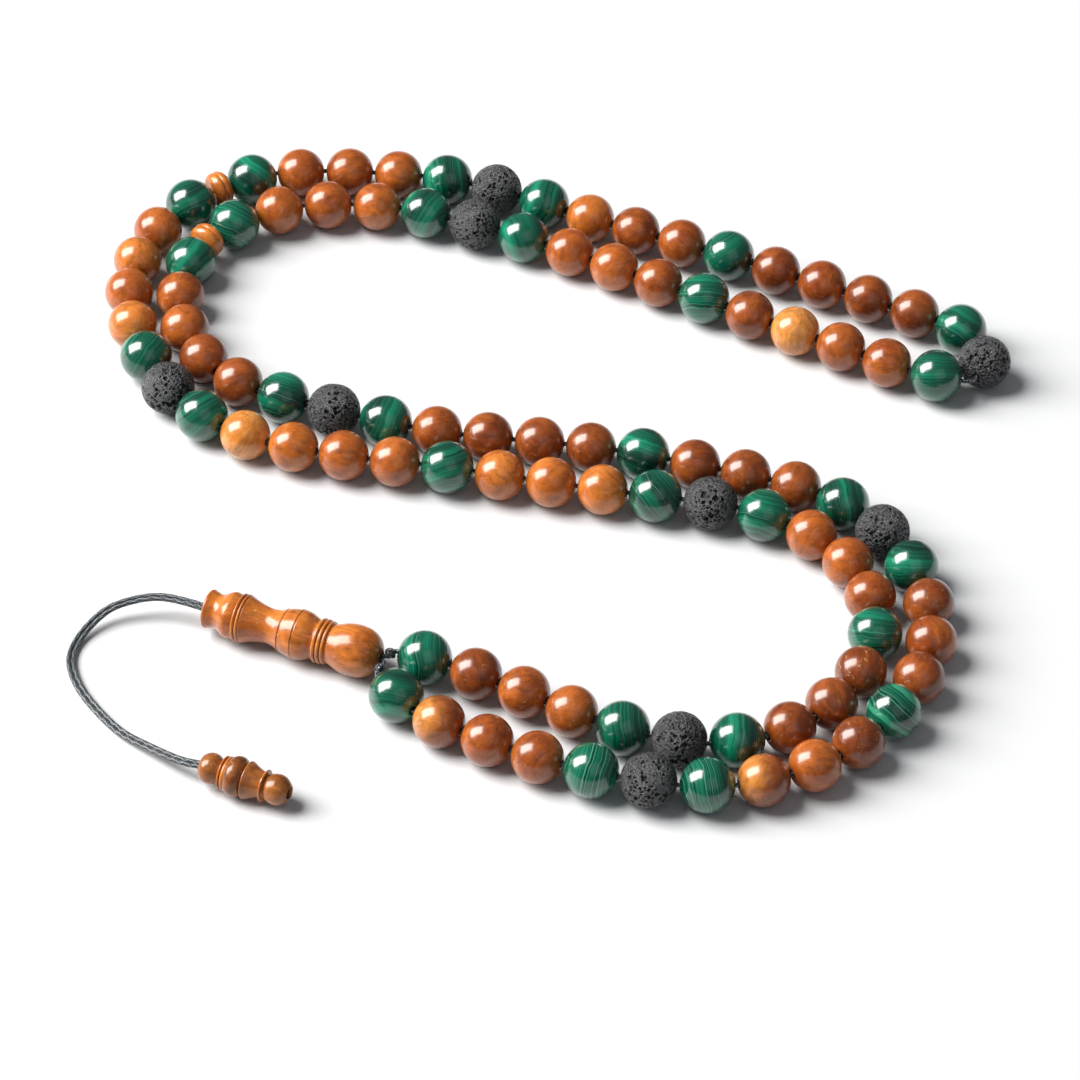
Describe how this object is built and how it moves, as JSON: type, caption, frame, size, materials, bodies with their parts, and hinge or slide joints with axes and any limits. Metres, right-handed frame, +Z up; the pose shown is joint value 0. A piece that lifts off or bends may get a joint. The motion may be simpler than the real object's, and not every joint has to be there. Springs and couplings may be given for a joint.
{
  "type": "misbaha prayer beads",
  "caption": "Loop of round prayer beads in nut wood, malachite and lava stone on a braided cord, closed by a long turned imam bead and a small turned end piece.",
  "frame": {"origin": "middle of the beads' bounding box at its bottom, on the table the string lies on", "axes": "+Z up; -Y towards the open front, where the imam bead and the end piece lie on the left; +X to the right"},
  "size_m": [0.1482, 0.1518, 0.0086],
  "materials": {
    "kuka_nut": "satin",
    "malachite": "gloss",
    "lava": "matte",
    "cord": "satin"
  },
  "bodies": {
    "cord_and_nut_beads": {"loop_cord": "cord", "tail_cord_a": "cord", "tail_cord_b": "cord", "knot_a": "cord", "knot_b": "cord", "end_knot": "cord", "nut_beads_a_02_to_10": "kuka_nut", "nut_beads_a_12_to_20": "kuka_nut", "nut_beads_a_22_to_32": "kuka_nut", "nut_beads_a_36_to_44": "kuka_nut", "nut_beads_a_46_to_49": "kuka_nut", "nut_beads_b_02_to_10": "kuka_nut", "nut_beads_b_12_to_20": "kuka_nut", "nut_beads_b_22_to_32": "kuka_nut", "nut_beads_b_36_to_44": "kuka_nut", "nut_beads_b_46_to_49": "kuka_nut"},
    "divider_a": {"divider_a": "kuka_nut"},
    "divider_b": {"divider_b": "kuka_nut"},
    "end_piece": {"end_piece": "kuka_nut"},
    "imam": {"imam": "kuka_nut"},
    "lava_a06": {"lava_a06": "lava"},
    "lava_a16": {"lava_a16": "lava"},
    "lava_a27": {"lava_a27": "lava"},
    "lava_a40": {"lava_a40": "lava"},
    "lava_b06": {"lava_b06": "lava"},
    "lava_b16": {"lava_b16": "lava"},
    "lava_b27": {"lava_b27": "lava"},
    "lava_b40": {"lava_b40": "lava"},
    "lava_end": {"lava_end": "lava"},
    "malachite_a01": {"malachite_a01": "malachite"},
    "malachite_a05": {"malachite_a05": "malachite"},
    "malachite_a07": {"malachite_a07": "malachite"},
    "malachite_a11": {"malachite_a11": "malachite"},
    "malachite_a15": {"malachite_a15": "malachite"},
    "malachite_a17": {"malachite_a17": "malachite"},
    "malachite_a21": {"malachite_a21": "malachite"},
    "malachite_a26": {"malachite_a26": "malachite"},
    "malachite_a28": {"malachite_a28": "malachite"},
    "malachite_a33": {"malachite_a33": "malachite"},
    "malachite_a35": {"malachite_a35": "malachite"},
    "malachite_a39": {"malachite_a39": "malachite"},
    "malachite_a41": {"malachite_a41": "malachite"},
    "malachite_a45": {"malachite_a45": "malachite"},
    "malachite_a50": {"malachite_a50": "malachite"},
    "malachite_b01": {"malachite_b01": "malachite"},
    "malachite_b05": {"malachite_b05": "malachite"},
    "malachite_b07": {"malachite_b07": "malachite"},
    "malachite_b11": {"malachite_b11": "malachite"},
    "malachite_b15": {"malachite_b15": "malachite"},
    "malachite_b17": {"malachite_b17": "malachite"},
    "malachite_b21": {"malachite_b21": "malachite"},
    "malachite_b26": {"malachite_b26": "malachite"},
    "malachite_b28": {"malachite_b28": "malachite"},
    "malachite_b33": {"malachite_b33": "malachite"},
    "malachite_b35": {"malachite_b35": "malachite"},
    "malachite_b39": {"malachite_b39": "malachite"},
    "malachite_b41": {"malachite_b41": "malachite"},
    "malachite_b45": {"malachite_b45": "malachite"},
    "malachite_b50": {"malachite_b50": "malachite"}
  },
  "joints": [
    {"name": "divider_a_spin", "type": "hinge", "parent": "cord_and_nut_beads", "child": "divider_a", "pos_m": [-0.05735, 0.05384, 0.0042], "axis": [0.5623, 0.8269, 0], "continuous": true},
    {"name": "divider_b_spin", "type": "hinge", "parent": "cord_and_nut_beads", "child": "divider_b", "pos_m": [-0.05595, 0.06731, 0.0042], "axis": [0.8199, 0.5726, 0], "continuous": true},
    {"name": "end_piece_spin", "type": "hinge", "parent": "cord_and_nut_beads", "child": "end_piece", "pos_m": [-0.0524, -0.0663, 0.00318], "axis": [0.9164, -0.4003, 0], "continuous": true},
    {"name": "imam_slide", "type": "slide", "parent": "cord_and_nut_beads", "child": "imam", "axis": [-0.9272, 0.3746, 0], "range_m": [0, 0.003]},
    {"name": "lava_a06_spin", "type": "hinge", "parent": "cord_and_nut_beads", "child": "lava_a06", "pos_m": [0.01393, -0.07058, 0.0043], "axis": [0.9794, -0.2018, 0], "continuous": true},
    {"name": "lava_a16_spin", "type": "hinge", "parent": "cord_and_nut_beads", "child": "lava_a16", "pos_m": [0.05114, -0.01685, 0.0043], "axis": [-0.5588, 0.8293, 0], "continuous": true},
    {"name": "lava_a27_spin", "type": "hinge", "parent": "cord_and_nut_beads", "child": "lava_a27", "pos_m": [-0.03501, 0.0115, 0.0043], "axis": [-0.9498, 0.313, 0], "continuous": true},
    {"name": "lava_a40_spin", "type": "hinge", "parent": "cord_and_nut_beads", "child": "lava_a40", "pos_m": [-0.0129, 0.05803, 0.0043], "axis": [0.9285, -0.3713, 0], "continuous": true},
    {"name": "lava_b06_spin", "type": "hinge", "parent": "cord_and_nut_beads", "child": "lava_b06", "pos_m": [0.0186, -0.06212, 0.0043], "axis": [0.985, -0.1723, 0], "continuous": true},
    {"name": "lava_b16_spin", "type": "hinge", "parent": "cord_and_nut_beads", "child": "lava_b16", "pos_m": [0.02456, -0.01038, 0.0043], "axis": [-0.975, 0.2221, 0], "continuous": true},
    {"name": "lava_b27_spin", "type": "hinge", "parent": "cord_and_nut_beads", "child": "lava_b27", "pos_m": [-0.06174, 0.01689, 0.0043], "axis": [-0.5336, 0.8457, 0], "continuous": true},
    {"name": "lava_b40_spin", "type": "hinge", "parent": "cord_and_nut_beads", "child": "lava_b40", "pos_m": [-0.00939, 0.06702, 0.0043], "axis": [0.9214, -0.3885, 0], "continuous": true},
    {"name": "lava_end_spin", "type": "hinge", "parent": "cord_and_nut_beads", "child": "lava_end", "pos_m": [0.06958, 0.02323, 0.0043], "axis": [0.3835, 0.9235, 0], "continuous": true},
    {"name": "malachite_a01_spin", "type": "hinge", "parent": "cord_and_nut_beads", "child": "malachite_a01", "pos_m": [-0.02369, -0.05275, 0.0042], "axis": [0.6327, -0.7743, -0.0117], "continuous": true},
    {"name": "malachite_a05_spin", "type": "hinge", "parent": "cord_and_nut_beads", "child": "malachite_a05", "pos_m": [0.00546, -0.06837, 0.0042], "axis": [0.9529, -0.3029, 0.0173], "continuous": true},
    {"name": "malachite_a07_spin", "type": "hinge", "parent": "cord_and_nut_beads", "child": "malachite_a07", "pos_m": [0.02261, -0.07141, 0.0042], "axis": [0.9997, 0.0155, -0.0173], "continuous": true},
    {"name": "malachite_a11_spin", "type": "hinge", "parent": "cord_and_nut_beads", "child": "malachite_a11", "pos_m": [0.05088, -0.05613, 0.0042], "axis": [0.5755, 0.8178, 0], "continuous": true},
    {"name": "malachite_a15_spin", "type": "hinge", "parent": "cord_and_nut_beads", "child": "malachite_a15", "pos_m": [0.05524, -0.02457, 0.0042], "axis": [-0.3721, 0.928, 0.0173], "continuous": true},
    {"name": "malachite_a17_spin", "type": "hinge", "parent": "cord_and_nut_beads", "child": "malachite_a17", "pos_m": [0.04528, -0.01042, 0.0042], "axis": [-0.7774, 0.6288, -0.0173], "continuous": true},
    {"name": "malachite_a21_spin", "type": "hinge", "parent": "cord_and_nut_beads", "child": "malachite_a21", "pos_m": [0.01423, 0.00116, 0.0042], "axis": [-0.9713, 0.2378, 0], "continuous": true},
    {"name": "malachite_a26_spin", "type": "hinge", "parent": "cord_and_nut_beads", "child": "malachite_a26", "pos_m": [-0.02664, 0.00895, 0.0042], "axis": [-0.9629, 0.2692, 0.0173], "continuous": true},
    {"name": "malachite_a28_spin", "type": "hinge", "parent": "cord_and_nut_beads", "child": "malachite_a28", "pos_m": [-0.04319, 0.0146, 0.0042], "axis": [-0.9177, 0.3968, -0.0173], "continuous": true},
    {"name": "malachite_a33_spin", "type": "hinge", "parent": "cord_and_nut_beads", "child": "malachite_a33", "pos_m": [-0.05969, 0.04826, 0.0042], "axis": [0.3087, 0.9511, 0.0116], "continuous": true},
    {"name": "malachite_a35_spin", "type": "hinge", "parent": "cord_and_nut_beads", "child": "malachite_a35", "pos_m": [-0.053, 0.05803, 0.0042], "axis": [0.7766, 0.6299, -0.0115], "continuous": true},
    {"name": "malachite_a39_spin", "type": "hinge", "parent": "cord_and_nut_beads", "child": "malachite_a39", "pos_m": [-0.02112, 0.06103, 0.0042], "axis": [0.9495, -0.3134, 0.0173], "continuous": true},
    {"name": "malachite_a41_spin", "type": "hinge", "parent": "cord_and_nut_beads", "child": "malachite_a41", "pos_m": [-0.00482, 0.05466, 0.0042], "axis": [0.9168, -0.399, -0.0173], "continuous": true},
    {"name": "malachite_a45_spin", "type": "hinge", "parent": "cord_and_nut_beads", "child": "malachite_a45", "pos_m": [0.02474, 0.03915, 0.0042], "axis": [0.8757, -0.4829, 0], "continuous": true},
    {"name": "malachite_a50_spin", "type": "hinge", "parent": "cord_and_nut_beads", "child": "malachite_a50", "pos_m": [0.06163, 0.01992, 0.0042], "axis": [0.955, -0.2964, 0.0116], "continuous": true},
    {"name": "malachite_b01_spin", "type": "hinge", "parent": "cord_and_nut_beads", "child": "malachite_b01", "pos_m": [-0.01955, -0.04466, 0.0042], "axis": [0.9499, -0.3124, -0.0116], "continuous": true},
    {"name": "malachite_b05_spin", "type": "hinge", "parent": "cord_and_nut_beads", "child": "malachite_b05", "pos_m": [0.01022, -0.05966, 0.0042], "axis": [0.9205, -0.3904, 0.0173], "continuous": true},
    {"name": "malachite_b07_spin", "type": "hinge", "parent": "cord_and_nut_beads", "child": "malachite_b07", "pos_m": [0.02725, -0.06214, 0.0042], "axis": [0.9847, 0.1733, -0.0173], "continuous": true},
    {"name": "malachite_b11_spin", "type": "hinge", "parent": "cord_and_nut_beads", "child": "malachite_b11", "pos_m": [0.04886, -0.03951, 0.0042], "axis": [0.1396, 0.9902, 0], "continuous": true},
    {"name": "malachite_b15_spin", "type": "hinge", "parent": "cord_and_nut_beads", "child": "malachite_b15", "pos_m": [0.03289, -0.01301, 0.0042], "axis": [-0.9242, 0.3816, 0.0173], "continuous": true},
    {"name": "malachite_b17_spin", "type": "hinge", "parent": "cord_and_nut_beads", "child": "malachite_b17", "pos_m": [0.016, -0.00858, 0.0042], "axis": [-0.982, 0.1881, -0.0173], "continuous": true},
    {"name": "malachite_b21_spin", "type": "hinge", "parent": "cord_and_nut_beads", "child": "malachite_b21", "pos_m": [-0.01672, -0.00188, 0.0042], "axis": [-0.9824, 0.187, 0], "continuous": true},
    {"name": "malachite_b26_spin", "type": "hinge", "parent": "cord_and_nut_beads", "child": "malachite_b26", "pos_m": [-0.05603, 0.01036, 0.0042], "axis": [-0.7699, 0.6379, 0.0173], "continuous": true},
    {"name": "malachite_b28_spin", "type": "hinge", "parent": "cord_and_nut_beads", "child": "malachite_b28", "pos_m": [-0.06575, 0.02466, 0.0042], "axis": [-0.3768, 0.9261, -0.0173], "continuous": true},
    {"name": "malachite_b33_spin", "type": "hinge", "parent": "cord_and_nut_beads", "child": "malachite_b33", "pos_m": [-0.06053, 0.06335, 0.0042], "axis": [0.727, 0.6866, 0.0115], "continuous": true},
    {"name": "malachite_b35_spin", "type": "hinge", "parent": "cord_and_nut_beads", "child": "malachite_b35", "pos_m": [-0.05053, 0.06999, 0.0042], "axis": [0.9225, 0.3859, -0.0116], "continuous": true},
    {"name": "malachite_b39_spin", "type": "hinge", "parent": "cord_and_nut_beads", "child": "malachite_b39", "pos_m": [-0.01766, 0.06984, 0.0042], "axis": [0.9671, -0.2538, 0.0173], "continuous": true},
    {"name": "malachite_b41_spin", "type": "hinge", "parent": "cord_and_nut_beads", "child": "malachite_b41", "pos_m": [-0.00141, 0.06344, 0.0042], "axis": [0.9029, -0.4296, -0.0173], "continuous": true},
    {"name": "malachite_b45_spin", "type": "hinge", "parent": "cord_and_nut_beads", "child": "malachite_b45", "pos_m": [0.02913, 0.04993, 0.0042], "axis": [0.9099, -0.4149, 0], "continuous": true},
    {"name": "malachite_b50_spin", "type": "hinge", "parent": "cord_and_nut_beads", "child": "malachite_b50", "pos_m": [0.06631, 0.03123, 0.0042], "axis": [0.8117, -0.584, 0.0116], "continuous": true}
  ]
}
